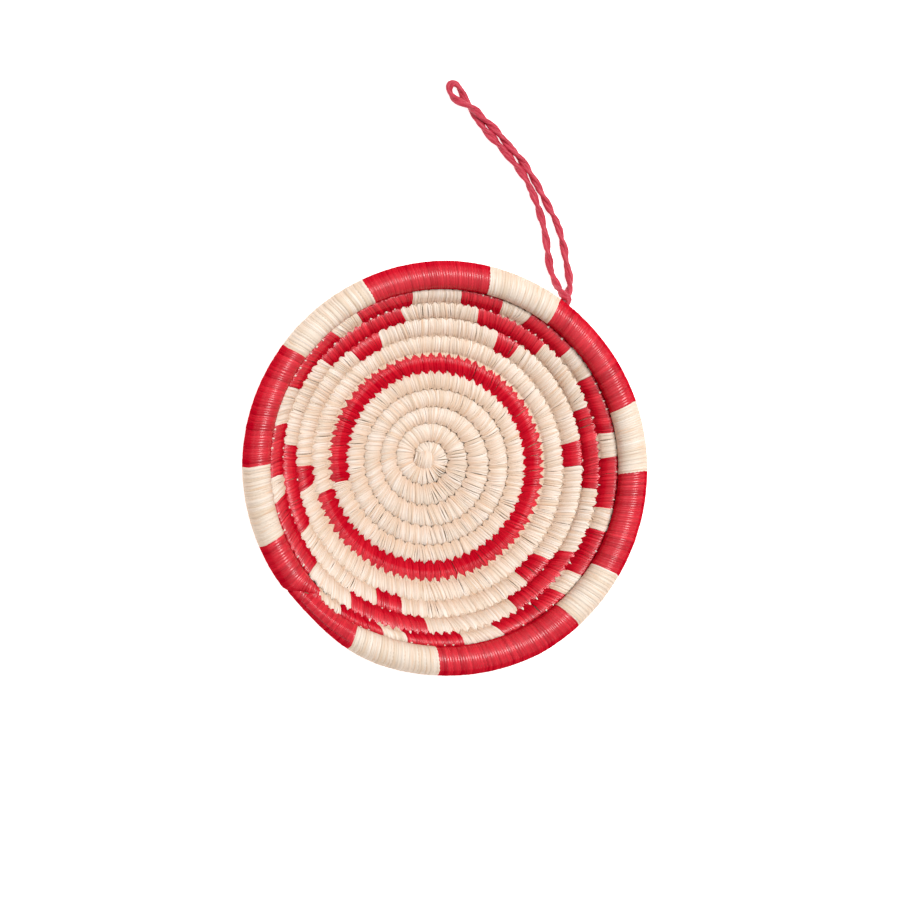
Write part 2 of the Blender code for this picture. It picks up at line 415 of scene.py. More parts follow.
def raffiaMaterial(name, look):
    material = bpy.data.materials.new(name)
    material.use_nodes = True
    tree = material.node_tree
    shader = tree.nodes["Principled BSDF"]
    uv = node(tree, "ShaderNodeUVMap", (-1400, 0), uv_map="strandMap")
    # fine fibres run along the strand
    fibreScale = node(tree, "ShaderNodeMapping", (-1200, 100))
    fibreScale.inputs["Scale"].default_value = (7.0, 0.35, 1.0)
    fibre = node(tree, "ShaderNodeTexNoise", (-1000, 100))
    fibre.inputs["Scale"].default_value = 1.0
    fibre.inputs["Detail"].default_value = 3.0
    streakScale = node(tree, "ShaderNodeMapping", (-1200, -300))
    streakScale.inputs["Scale"].default_value = (1.3, 0.16, 1.0)
    streak = node(tree, "ShaderNodeTexNoise", (-1000, -300))
    streak.inputs["Scale"].default_value = 1.0
    streak.inputs["Detail"].default_value = 2.0
    streakRange = node(tree, "ShaderNodeMapRange", (-800, -300))
    streakRange.inputs["From Min"].default_value = 0.52
    streakRange.inputs["From Max"].default_value = 0.75
    streakRange.inputs["To Max"].default_value = look["streakShare"]
    tone = node(tree, "ShaderNodeAttribute", (-1000, 400), attribute_name="tone")
    links = tree.links
    links.new(uv.outputs["UV"], fibreScale.inputs["Vector"])
    links.new(fibreScale.outputs["Vector"], fibre.inputs["Vector"])
    links.new(uv.outputs["UV"], streakScale.inputs["Vector"])
    links.new(streakScale.outputs["Vector"], streak.inputs["Vector"])
    links.new(streak.outputs["Fac"], streakRange.inputs["Value"])
    blend = node(tree, "ShaderNodeMath", (-800, 250), operation="MULTIPLY_ADD", use_clamp=True)
    links.new(fibre.outputs["Fac"], blend.inputs[0])
    blend.inputs[1].default_value = 0.7
    links.new(tone.outputs["Fac"], blend.inputs[2])
    base = mixColours(tree, (-500, 200), blend.outputs[0], look["colour"], look["pale"])
    streaked = mixColours(tree, (-300, 100), streakRange.outputs["Result"], base, look["streak"])
    # painted shade: towards the inner side of each row the colour is mixed with the darker inner one
    outward = node(tree, "ShaderNodeAttribute", (-1000, 700), attribute_name="outward")
    innerShading = node(tree, "ShaderNodeMapRange", (-600, 600))
    innerShading.inputs["From Min"].default_value = 0.62
    innerShading.inputs["From Max"].default_value = 0.12
    innerShading.inputs["To Max"].default_value = look["innerShadeShare"]
    links.new(outward.outputs["Fac"], innerShading.inputs["Value"])
    final = mixColours(tree, (-100, 200), innerShading.outputs["Result"], streaked, look["inner"])
    links.new(final, shader.inputs["Base Color"])
    # painted sheen: the specular level rises towards the outer side of each row, where highlights fall
    shine = node(tree, "ShaderNodeMapRange", (-600, 900))
    shine.inputs["From Min"].default_value = 0.35
    shine.inputs["From Max"].default_value = 0.75
    shine.inputs["To Min"].default_value, shine.inputs["To Max"].default_value = look["shine"]
    links.new(outward.outputs["Fac"], shine.inputs["Value"])
    links.new(shine.outputs["Result"], shader.inputs["Specular IOR Level"])
    bump = node(tree, "ShaderNodeBump", (-300, -300))
    bump.inputs["Strength"].default_value = 1.0
    bump.inputs["Distance"].default_value = look["bump"]
    links.new(fibre.outputs["Fac"], bump.inputs["Height"])
    links.new(bump.outputs["Normal"], shader.inputs["Normal"])
    shader.inputs["Roughness"].default_value = look["roughness"]
    return material


naturalRaffia = raffiaMaterial("naturalRaffia", raffiaLook["natural"])
redRaffia = raffiaMaterial("redRaffia", raffiaLook["red"])
grassCore = raffiaMaterial("grassCore", raffiaLook["core"])
redCord = raffiaMaterial("redCord", raffiaLook["cord"])
print("materials made")


# The hanging loop.

loop = {
    "diameter": 0.0017,
    "gap": 0.00045,
    "exitTilt": -62.0,
    "leavingAngle": 51.0,
    "returningAngle": 53.4,
    "plyOffset": 0.00036,
    "strandsInPly": 3,
    "strandOffset": 0.00030,
    "strandWidth": 0.00052,
    "strandThick": 0.00030,
    "twist": 0.0118,
    "innerTwist": 0.75,  # how often a ply turns about itself in one twist of the cord
    "swelling": 0.22,  # how much thicker and thinner the cord gets along its way
    "swellingLength": 0.0061,
    "endLength": 0.0005,  # over which its ends get thinner
    "tones": (0.1, 0.22),
    "parts": (20, 23),
    "route": (  # from the middle of the coil
        (0.03206, 0.04086, 0.0078),
        (0.03111, 0.04176, 0.0076),
        (0.03044, 0.04301, 0.0058),
        (0.03003, 0.04475, 0.0032),
        (0.02959, 0.04668, 0.0017),
        (0.02895, 0.04934, 0.0011),
        (0.02843, 0.05274, 0.0010),
        (0.02743, 0.05876, 0.0010),
        (0.02565, 0.06478, 0.0010),
        (0.02366, 0.06927, 0.0010),
        (0.02209, 0.07180, 0.0010),
        (0.01782, 0.07717, 0.0010),
        (0.01297, 0.08232, 0.0010),
        (0.01116, 0.08473, 0.0010),
        (0.00967, 0.08666, 0.0010),
        (0.00851, 0.08875, 0.0010),
        (0.00748, 0.09062, 0.0010),
        (0.00659, 0.09226, 0.0010),
        (0.00556, 0.09367, 0.0010),
        (0.00421, 0.09395, 0.0010),
        (0.00356, 0.09274, 0.0010),
        (0.00417, 0.09103, 0.0014),
        (0.00565, 0.08967, 0.0024),
        (0.00791, 0.08846, 0.0030),
        (0.01004, 0.08708, 0.0027),
        (0.01207, 0.08544, 0.0018),
        (0.01448, 0.08340, 0.0011),
        (0.01932, 0.07819, 0.0010),
        (0.02362, 0.07276, 0.0010),
        (0.02662, 0.06773, 0.0010),
        (0.02801, 0.06518, 0.0010),
        (0.03079, 0.05955, 0.0010),
        (0.03238, 0.05428, 0.0010),
        (0.03336, 0.04900, 0.0011),
        (0.03364, 0.04672, 0.0016),
        (0.03356, 0.04479, 0.0026),
        (0.03308, 0.04325, 0.0037),
        (0.03226, 0.04208, 0.0049),
        (0.03129, 0.04091, 0.0058),
    ),
}


def rimExit(angle, away):
    # a place under the rim at this angle, this far from its skin
    turns = asTurns(angle)
    radius, height = rimMiddle(turns)
    reach = rimRadius(turns) + away
    tilt = math.radians(loop["exitTilt"])
    place = inSpace(radius + reach * math.cos(tilt), height + reach * math.sin(tilt), turns, turns - 0.5)
    return place + shift


def smoothWay(corners, samples=24):
    corners = np.array(corners)
    ends = np.vstack([corners[0] * 2 - corners[1], corners, corners[-1] * 2 - corners[-2]])
    share = (np.arange(samples) / samples)[None, :, None]
    a, b, c, d = (ends[first : len(ends) - 3 + first][:, None, :] for first in range(4))
    curve = 2 * b + (c - a) * share + (2 * a - 5 * b + 4 * c - d) * share**2
    curve = 0.5 * (curve + (3 * b - a - 3 * c + d) * share**3)
    return np.vstack([curve.reshape(-1, 3), corners[-1]])


def evenly(way, count):
    lengths = np.concatenate([[0.0], np.cumsum(np.linalg.norm(np.diff(way, axis=0), axis=1))])
    marks = np.linspace(0.0, lengths[-1], count + 1)
    return np.stack([np.interp(marks, lengths, way[:, axis]) for axis in range(3)], axis=1), lengths[-1]


def steadyFrames(way):
    # sideways and upward directions that turn as little as they can along the way
    ahead = np.gradient(way, axis=0)
    ahead /= np.linalg.norm(ahead, axis=1, keepdims=True)
    sides = []
    side = np.cross(ahead[0], (0.0, 0.0, 1.0))
    for direction in ahead:
        side = side - direction * np.dot(side, direction)
        side /= np.linalg.norm(side)
        sides.append(side)
    sides = np.array(sides)
    return sides, np.cross(sides, ahead)


def makeLoop():
    beyond = loop["gap"] + loop["diameter"]
    corners = [rimExit(loop["leavingAngle"], loop["gap"]), rimExit(loop["leavingAngle"], beyond)]
    corners += [np.array(place) + shift for place in loop["route"]]
    corners += [rimExit(loop["returningAngle"], beyond), rimExit(loop["returningAngle"], loop["gap"])]
    way, length = evenly(smoothWay(corners), math.prod(loop["parts"]))
    sides, ups = steadyFrames(way)
    marks = np.linspace(0.0, length, len(way))
    turn = 2.0 * math.pi * marks / loop["twist"]
    pattern = strandPattern(8, *loop["parts"])
    lines, sideways = [], []
    for ply in range(2):
        phase = turn + ply * math.pi
        outward = sides * np.cos(phase)[:, None] + ups * np.sin(phase)[:, None]
        across = ups * np.cos(phase)[:, None] - sides * np.sin(phase)[:, None]
        for strand in range(loop["strandsInPly"]):
            # the strands of a ply wander, so the cord is thicker here and thinner there
            wave = np.sin(marks / loop["swellingLength"] + dice.uniform(0.0, 6.3))
            swelling = 1.0 + loop["swelling"] * wave
            within = turn * loop["innerTwist"] + strand * 2.0 * math.pi / loop["strandsInPly"]
            ray = outward * np.cos(within)[:, None] + across * np.sin(within)[:, None]
            offset = outward * loop["plyOffset"] + ray * loop["strandOffset"]
            lines.append(way + offset * swelling[:, None])
            sideways.append(outward * -np.sin(within)[:, None] + across * np.cos(within)[:, None])
    lines, sideways = np.array(lines), np.array(sideways)
    ends = np.minimum(1.0, np.minimum(marks, length - marks) / loop["endLength"] * 0.5 + 0.5)
    width = np.repeat(ends[None, :] * loop["strandWidth"], len(lines), axis=0)
    thick = np.repeat(ends[None, :] * loop["strandThick"], len(lines), axis=0)
    places = sweptStrands(pattern, lines, sideways, width, thick)
    places[..., 2] = np.maximum(places[..., 2], 0.0)
    spread = strandMap(pattern, lines, width)
    tones = dice.normal(*loop["tones"], (len(lines), 1))
    cord = meshOfCopies("twistedLoop", pattern, places, spread, tones, 0.5, redCord)
    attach(cord, "root")
    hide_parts("hanging_loop")
    print("hanging loop:", round(float(length) * 1000, 1), "mm of twisted cord")


makeLoop()


# The straw bundle inside the coil, which shows between the stitches.

core = {
    "sides": 16,
    "parts": (30, 30),
    "rimParts": (12, 10),
    "halfHeight": 0.00160,
    "squareness": 2.6,
    "rimInset": 0.00030,
    "rimStart": 0.3,  # its size at the seam, from which it grows to the full one between these turns
    "rimGrows": (10.045, 10.075),
    "shadeFrom": 0.7,  # how far from its crest the painted shade on the bundle starts
}


def makeCore():
    pattern = strandPattern(core["sides"], *core["parts"])
    rings = math.prod(core["parts"])
    turns = np.linspace(0.12, coil["rowTurns"] + 0.01, rings + 1)
    level = levels(pattern, rings)
    angle = np.arctan2(pattern["places"][:, 1], pattern["places"][:, 0])
    power = 2.0 / core["squareness"]
    across = np.sign(np.cos(angle)) * np.abs(np.cos(angle)) ** power
    upward = np.sign(np.sin(angle)) * np.abs(np.sin(angle)) ** power
    places = rowPlace(turns[level], 0.5 + 0.51 * across, upward * core["halfHeight"])
    spread = np.stack([angle * 2.0, turns[level] * 80.0], axis=-1)
    # painted shade: the bundle turns dark towards the grooves, where it lies in shade between the rows
    tones = 0.4 - 1.3 * smooth((np.abs(across) - core["shadeFrom"]) / (0.97 - core["shadeFrom"]))
    body = meshOfCopies("rowCore", pattern, places[None], spread[None], tones[None], 0.5, grassCore)
    rimPattern = strandPattern(20, *core["rimParts"])
    rings = math.prod(core["rimParts"])
    turns = np.linspace(coil["rowTurns"] - 0.01, coil["rowTurns"] + 1.0, rings + 1)
    level = levels(rimPattern, rings)
    angle = np.arctan2(rimPattern["places"][:, 1], rimPattern["places"][:, 0])
    radius, height = rimMiddle(turns[level])
    full = smooth((turns[level] - core["rimGrows"][0]) / (core["rimGrows"][1] - core["rimGrows"][0]))
    size = (rimRadius(turns[level]) - core["rimInset"]) * (core["rimStart"] + (1.0 - core["rimStart"]) * full)
    reachR, reachZ = size * np.cos(angle), size * np.sin(angle)
    places = inSpace(radius + reachR, height + reachZ, turns[level], turns[level] - 0.5) + shift
    spread = np.stack([angle * 3.0, turns[level] * 280.0], axis=-1)
    # painted shade: the rim's bundle is held towards the dark colour, as it shows only in the shaded gaps
    # between wraps
    ring = meshOfCopies("rimCore", rimPattern, places[None], spread[None], -0.2, 0.5, grassCore)
    bowlPiece(body)
    bowlPiece(ring)
    print("grass core made")


makeCore()


# The stitches over the rows.

stitches = {
    "pitch": 0.00205,
    "pitchRange": (0.87, 1.13),
    "leastRadius": 0.0012,  # of the row, where the coil starts
    "first": 0.16,
    "strands": 6,
    "rings": 12,
    # how far clockwise the inner end lies from the outer end, after so many turns
    "slants": ((6.0, 8.5, 9.2, 10.0), (0.0008, 0.0009, 0.0012, 0.0014)),
    "steer": 0.5,  # how much of a pitch it may bend to pass between two stitches of the row before
    "overlap": 1.5,
    "halfThick": 0.00011,
    "baseTurns": 6.14,
    "tip": 0.07,  # how far past the groove the outer end goes
    # how far onto the row before the inner ends reach, after so many turns
    "reach": (
        (5.0, 5.2, 6.0, 6.2, 7.0, 7.3, 10.0, 10.05),
        (0.11, 0.30, 0.30, 0.40, 0.39, 0.20, 0.20, 0.0),
    ),
    "widths": (0.00018, 0.00045),  # half of the narrowest and of the widest strand
    "tones": (0.15, 0.32),
    "shares": (-0.4, -0.25, -0.12, -0.03, 0.05, 0.15, 0.3, 0.45, 0.6, 0.75, 0.88, 1.0, 1.1),
    "lifts": (
        0.00196, 0.00186, 0.00160, 0.00138, 0.00156, 0.00184, 0.00202, 0.00208, 0.00203, 0.00184,
        0.00156, 0.00112, 0.00074,
    ),
}

# where each row turns red, by the angle at which the camera sees it, running clockwise from 190 to -170
redOnRows = {
    0: (),
    1: ((190.0, -170.0),),
    2: ((191.0, 187.2),),
    3: (
        (190.6, 178.0), (127.0, 114.7), (68.2, 57.6), (10.0, -1.0), (-41.4, -52.4), (-104.1, -115.9),
        (-156.5, -171.0),
    ),
    4: (
        (191.0, 170.8), (137.6, 105.6), (76.2, 50.2), (21.2, -8.8), (-31.8, -62.4), (-94.5, -122.4),
        (-143.5, -168.2),
    ),
    5: (
        (183.8, 163.5), (149.8, 128.6), (118.5, 97.6), (84.5, 68.2), (59.0, 42.6), (32.1, 11.4), (2.6, -13.9),
        (-22.4, -38.8), (-46.2, -68.8), (-82.7, -100.6), (-108.8, -125.3), (-133.6, -150.0),
    ),
}
firstRowEnd = 5.14
redOnRim = (
    (235.0, 203.3), (180.0, 140.8), (111.4, 74.9), (53.0, 17.9), (-1.8, -31.5), (-48.8, -90.6),
    (-117.0, -150.0),
)


def unwrapped(seen, expected):
    return seen + 360.0 * np.round((expected - seen) / 360.0)


def isRed(turns, place):
    row = 0 if turns < firstRowEnd else 1 + int(turns - firstRowEnd)
    expected = 190.0 - 360.0 * (turns - firstRowEnd - (row - 1))
    angle = float(unwrapped(seenAngle(place), expected)) if row else 0.0
    return any(high >= angle >= low for high, low in redOnRows[row])


def layStitches():
    # the turn at which each stitch crosses its row's crest, and where its inner and outer ends go in
    crests = []
    turns = stitches["first"]
    while turns < coil["rowTurns"] - 0.004:
        crests.append(turns)
        radius = max(float(spiralAt(turns)[0]), stitches["leastRadius"])
        pitch = stitches["pitch"] * random.uniform(*stitches["pitchRange"])
        turns += pitch / (2.0 * math.pi * radius)
    crests = np.array(crests)
    radius = np.maximum(spiralAt(crests)[0], stitches["leastRadius"])
    halfSlant = np.interp(crests, *stitches["slants"]) / 2 / (2.0 * math.pi * radius)
    outerEnds = crests - halfSlant + dice.normal(0.0, 0.00006, len(crests)) / (2.0 * math.pi * radius)
    wished = crests + halfSlant
    gaps = (outerEnds[:-1] + outerEnds[1:]) / 2 + 1.0
    innerEnds = []
    for turn, size in zip(wished, radius):
        nearest = gaps[np.argmin(np.abs(gaps - turn))]
        limit = stitches["steer"] * stitches["pitch"] / (2.0 * math.pi * size)
        bend = np.clip(nearest - turn, -limit, limit) if turn > 1.2 else 0.0
        innerEnds.append(turn + bend)
    return crests, np.array(innerEnds), outerEnds


def overRows(turns, share, lift):
    # like rowPlace, but where share is below nought the place lies on the row before
    before = share < 0.0
    return rowPlace(np.where(before, turns - 1.0, turns), np.where(before, share + 1.0, share), lift)


def makeStitches():
    crests, innerEnds, outerEnds = layStitches()
    middles = rowPlace(crests, 0.5, 0.002)
    reds = np.array([isRed(turns, place) for turns, place in zip(crests, middles)])
    count, strands, rings = len(crests), stitches["strands"], stitches["rings"]
    pattern = strandPattern(6, rings, flat=True)
    level = levels(pattern, rings)
    along = np.linspace(0.0, 1.0, rings + 1)[None, None, :]
    # stitch by stitch: (stitch, strand, ring)
    number = np.arange(strands)[None, :, None] - (strands - 1) / 2
    radius = np.maximum(spiralAt(crests)[0], stitches["leastRadius"])[:, None, None]
    reach = np.interp(crests, *stitches["reach"])[:, None, None]
    notch = np.interp(crests + 1.0, *stitches["reach"])[:, None, None] * 0.9 + 0.05
    tip = stitches["tip"]
    uneven = dice.normal(0.0, 0.014, (count, strands, 2))
    sFrom = -reach + 0.035 * np.abs(number) + uneven[:, :, :1]
    sTo = 1.0 + tip - 0.04 * np.abs(number) + uneven[:, :, 1:]
    share = sFrom + (sTo - sFrom) * along
    inner = np.clip((share + reach + 0.03) / (reach + 0.11), 0.0, 1.0) ** 0.8
    outer = np.clip((1.0 + tip + 0.02 - share) / (notch + tip), 0.0, 1.0) ** 0.8
    gather = 0.07 + 0.93 * inner * outer
    # between their pointed ends the stitches fill the row: each spreads halfway to its neighbours
    wander = dice.normal(0.0, 0.00008, (count, strands, 1)) * np.sin(along * math.pi)
    centre = innerEnds[:, None, None] * (1 - share) + outerEnds[:, None, None] * share
    spots = []
    for ends in (innerEnds, outerEnds):
        between = (ends[:-1] + ends[1:]) / 2
        edges = np.concatenate([[2 * ends[0] - between[0]], between, [2 * ends[-1] - between[-1]]])
        size = np.diff(edges)[:, None, None]
        spots.append((edges[:-1, None, None] + size * (0.5 + number / strands), size / strands))
    body = spots[0][0] * (1 - share) + spots[1][0] * share
    room = (spots[0][1] * (1 - share) + spots[1][1] * share) * 2.0 * math.pi * radius
    turns = centre + (body - centre) * gather + wander / (2.0 * math.pi * radius)
    lift = np.interp(share, stitches["shares"], stitches["lifts"])
    lift = lift + dice.normal(0.0, 0.00004, (count, strands, 1)) - 0.00012 * (1.0 - gather)
    flat = (count * strands, rings + 1)
    turns, share, lift, gather, room = (
        np.broadcast_to(value, (count, strands, rings + 1)).reshape(flat)
        for value in (turns, share, lift, gather, room)
    )
    line = overRows(turns, share, lift)
    sideways = overRows(turns + 0.0005, share, lift) - line
    here = np.linalg.norm(line[..., :2] - shift[:2], axis=2) / np.repeat(radius.ravel(), strands)[:, None]
    width = np.clip(room * here * stitches["overlap"] / 2, *stitches["widths"])
    width = width * (0.30 + 0.70 * gather) * dice.uniform(0.8, 1.2, (flat[0], 1))
    thick = (0.4 + 0.6 * gather) * stitches["halfThick"]
    places = sweptStrands(pattern, line, sideways, width, thick)
    places[..., 2] = np.maximum(places[..., 2], 0.0)
    spread = strandMap(pattern, line, width)
    tones = np.clip(dice.normal(*stitches["tones"], (flat[0], 1)), -0.6, 0.8)
    # how far along its row each point lies, which sets the painted shade and sheen
    outward = share[:, level]
    strandReds = np.repeat(reds, strands)
    onBase = np.repeat(crests < stitches["baseTurns"], strands)
    for name, chosen, material, slot in (
        ("baseStitches", ~strandReds & onBase, naturalRaffia, "natural_raffia"),
        ("wallStitches", ~strandReds & ~onBase, naturalRaffia, "natural_raffia"),
        ("redStitches", strandReds, redRaffia, "red_raffia"),
    ):
        piece = meshOfCopies(
            name, pattern, places[chosen], spread[chosen], tones[chosen], outward[chosen], material
        )
        bowlPiece(piece)
    print(len(crests), "stitches of", strands, "strands laid,", int(reds.sum()), "red")
    return crests, innerEnds, reds


crests, innerEnds, reds = makeStitches()


# The pale bits of straw that show in the grooves between two red rows.

specks = {
    "fromTurns": 7.14,
    "rimFromTurns": 9.05,
    "often": 0.55,
    "sizes": (0.5, 1.35),
    "rings": 4,
    "halfWidth": 0.00030,
    "halfThick": 0.00012,
    "narrowing": (0.9, 1.0, 0.8, 0.5, 0.15),
    # across the row, and how high, at a speck's two ends: in the grooves between rows, and beside the rim
    "grooves": ((-0.10, 0.00162), (0.07, 0.00166)),
    "rimGroove": ((0.88, 0.00168), (1.02, 0.00142)),
}


def makeSpecks():
    own = np.random.default_rng(23)
    before = np.array([np.argmin(np.abs(crests - (turns - 1.0))) for turns in crests[:-1]])
    between = reds[:-1] & reds[1:]
    groove = between & reds[before] & (crests[:-1] > specks["fromTurns"])
    beside = between & (crests[:-1] > specks["rimFromTurns"])
    turns = (innerEnds[:-1] + innerEnds[1:]) / 2
    pattern = strandPattern(6, specks["rings"])
    lines, sideways = [], []
    for chosen, ends in ((groove, specks["grooves"]), (beside, specks["rimGroove"])):
        chosen = chosen & (own.random(len(chosen)) < specks["often"])
        (shareFrom, liftFrom), (shareTo, liftTo) = ends
        share = np.linspace(shareFrom, shareTo, specks["rings"] + 1)[None, :]
        lift = np.linspace(liftFrom, liftTo, specks["rings"] + 1)[None, :]
        spots = np.repeat(turns[chosen][:, None], specks["rings"] + 1, axis=1)
        line = overRows(spots, share, lift)
        lines.append(line)
        sideways.append(overRows(spots + 0.0005, share, lift) - line)
    lines, sideways = np.concatenate(lines), np.concatenate(sideways)
    taper = np.array(specks["narrowing"]) * own.uniform(*specks["sizes"], (len(lines), 1))
    width, thick = specks["halfWidth"] * taper, specks["halfThick"] * taper
    places = sweptStrands(pattern, lines, sideways, width, thick)
    spread = strandMap(pattern, lines, width)
    piece = meshOfCopies("paleSpecks", pattern, places, spread, 0.5, 0.5, naturalRaffia)
    bowlPiece(piece)
    print(len(lines), "pale specks set")


makeSpecks()


# The same stitches where they pass under the rows.

undersides = {
    "strands": 3,
    "halfWidth": 0.00038,
    "halfThick": 0.00012,
    "shares": (-0.02, 0.1, 0.3, 0.5, 0.7, 0.9, 1.02),
    "lifts": (-0.00095, -0.00165, -0.00203, -0.00207, -0.00203, -0.00165, -0.00095),
    "gather": ((0.0, 0.2, 0.8, 1.0), (0.5, 1.0, 1.0, 0.5)),
    "slant": 0.0009,
    "tones": (0.15, 0.16),
}


def makeUndersides():
    count, strands, rings = len(crests), undersides["strands"], 7
    pattern = strandPattern(6, rings, flat=True)
    share = np.linspace(0.0, 1.0, rings + 1)
    number = np.arange(strands)[None, :, None] - (strands - 1) / 2
    radius = np.maximum(spiralAt(crests)[0], stitches["leastRadius"])[:, None, None]
    gather = np.interp(share, *undersides["gather"])[None, None, :]
    lateral = number * stitches["pitch"] / strands * gather
    lateral = lateral + undersides["slant"] * (share - 0.5)[None, None, :]
    lateral = lateral + dice.normal(0.0, 0.00005, (count, strands, 1))
    turns = crests[:, None, None] + lateral / (2.0 * math.pi * radius)
    across = undersides["shares"][0] + (undersides["shares"][-1] - undersides["shares"][0]) * share
    lift = np.interp(across, undersides["shares"], undersides["lifts"])
    flat = (count * strands, rings + 1)
    turns = np.broadcast_to(turns, (count, strands, rings + 1)).reshape(flat)
    line = rowPlace(turns, across[None, :], lift[None, :])
    sideways = line - rowPlace(turns + 0.0005, across[None, :], lift[None, :])
    width = np.full(flat, undersides["halfWidth"])
    thick = np.full(flat, undersides["halfThick"])
    places = sweptStrands(pattern, line, sideways, width, thick)
    places[..., 2] = np.maximum(places[..., 2], 0.0)
    spread = strandMap(pattern, line, width)
    tones = np.clip(dice.normal(*undersides["tones"], (flat[0], 1)), -0.35, 0.6)
    strandReds = np.repeat(reds, strands)
    for name, chosen, material, slot in (
        ("naturalUnderside", ~strandReds, naturalRaffia, "natural_raffia"),
        ("redUnderside", strandReds, redRaffia, "red_raffia"),
    ):
        piece = meshOfCopies(name, pattern, places[chosen], spread[chosen], tones[chosen], 0.5, material)
        bowlPiece(piece)
    print("undersides laid")


makeUndersides()


# The wraps round the rim.

wraps = {
    "narrowest": 0.00034,
    "widest": 0.00078,
    "halfThick": 0.00010,
    "slants": ((0.0, 0.2, 0.45, 0.7, 1.0), (0.00055, 0.00015, -0.00055, -0.0002, 0.0004)),
    "rings": 20,
    "startTurns": 10.040,  # the wraps spread from the last row's width to the rim's
    "fullTurns": 10.068,
    "endTurns": 11.062,
    "brown": 0.12,  # how many of the undyed wraps are darker
    "rowShares": (-0.03, 1.12),  # where they start and end on the row that the rim grows out of
    "overlap": 1.4,
    "seenAt": 0.36,  # how far round the rim its colour is read
    "seenStart": 222.0,  # the direction of the seam as the camera sees it
    # how far outward the shader takes the wraps to lie, from the upper groove round to the lower one: this
    # paints a highlight over the rim's top and shade in its grooves and underneath
    "outward": ((0.0, 0.12, 0.28, 0.38, 0.47, 1.0), (0.05, 0.4, 0.8, 0.6, 0.3, 0.1)),
    "tones": (0.15, 0.18),
    "brownTone": -0.45,
}


def makeWraps():
    marks, widths = [], []
    turns = wraps["startTurns"]
    while turns < wraps["endTurns"]:
        width = random.uniform(wraps["narrowest"], wraps["widest"])
        step = width / (2.0 * math.pi * float(rimMiddle(turns)[0]))
        marks.append(turns + step / 2)
        widths.append(width)
        turns += step
    marks, widths = np.array(marks), np.array(widths)
    count, rings = len(marks), wraps["rings"]
    pattern = strandPattern(6, rings, flat=True)
    share = np.linspace(0.0, 1.0, rings + 1)[None, :]
    radius = rimMiddle(marks)[0][:, None]
    lean = np.interp(share, *wraps["slants"]) + dice.normal(0.0, 0.00006, (count, 1)) * (share - 0.3)
    turns = marks[:, None] + lean / (2.0 * math.pi * radius)
    proud = dice.normal(0.0, 0.00002, (count, 1)) - wraps["halfThick"] + 0.00003

    def wrapPlace(turns):
        # over the seam the rim still has the section of the row that it grows out of
        full = smooth((turns - wraps["startTurns"]) / (wraps["fullTurns"] - wraps["startTurns"]))[..., None]
        grown = np.maximum(turns, coil["rowTurns"] + 0.002)
        first, last = wraps["rowShares"]
        onRow = first + (last - first) * share
        lift = np.interp(onRow, stitches["shares"], stitches["lifts"])
        row = rowPlace(np.minimum(turns, coil["rowTurns"] + 0.45), onRow, lift + proud)
        ahead = rimPlace(grown, share, proud) - rimPlace(grown, 0.0, proud) + rimPlace(turns, 0.0, proud)
        return row * (1.0 - full) + ahead * full

    line = wrapPlace(turns)
    sideways = wrapPlace(turns + 0.0003) - line
    here = np.linalg.norm(line[..., :2] - shift[:2], axis=2)
    width = (widths[:, None] / 2 * wraps["overlap"]) * here / radius
    thick = np.full_like(width, wraps["halfThick"])
    places = sweptStrands(pattern, line, sideways, width, thick)
    spread = strandMap(pattern, line, width)
    tones = np.clip(dice.normal(*wraps["tones"], (count, 1)), -0.35, 0.6)
    tones = np.where(dice.random((count, 1)) < wraps["brown"], wraps["brownTone"], tones)
    tops = rimPlace(marks, wraps["seenAt"], 0.0)
    expected = wraps["seenStart"] - 360.0 * (marks - coil["rowTurns"])
    angles = unwrapped(seenAngle(tops), expected)
    wrapReds = np.array([any(high >= angle >= low for high, low in redOnRim) for angle in angles])
    outward = np.interp(share[0][levels(pattern, rings)], *wraps["outward"])
    outward = np.broadcast_to(outward, (count, len(pattern["places"])))
    for name, chosen, material, slot in (
        ("naturalWraps", ~wrapReds, naturalRaffia, "natural_raffia"),
        ("redWraps", wrapReds, redRaffia, "red_raffia"),
    ):
        piece = meshOfCopies(
            name, pattern, places[chosen], spread[chosen], tones[chosen], outward[chosen], material
        )
        bowlPiece(piece)
    print(count, "wraps round the rim")


makeWraps()


# Where the rim ends against the last row, its last wraps reach over that row in points.

seam = {
    # each point's direction, and how far across the last row it starts
    "points": (
        (223.6, 0.25), (225.4, 0.45), (227.3, 0.62), (229.1, 0.70), (231.2, 0.66), (233.6, 0.74),
        (236.4, 0.84), (239.0, 0.88),
    ),
    "uneven": 0.03,
    "strands": 5,
    "spacing": 0.00040,
    "radius": 0.045,  # of the rim, from which the spacing becomes a turn
    "nearEnd": 0.2,  # share of the spacing at each point's tip, and halfway to the rim
    "nearRim": 0.75,
    "flatAt": 0.2,
    "halfWidth": 0.00036,
    "halfThick": 0.00012,
    "parts": 12,
    "around": (0.10, 0.26, 0.42),  # where on the rim they go on and end
    "proud": 0.00014,
}


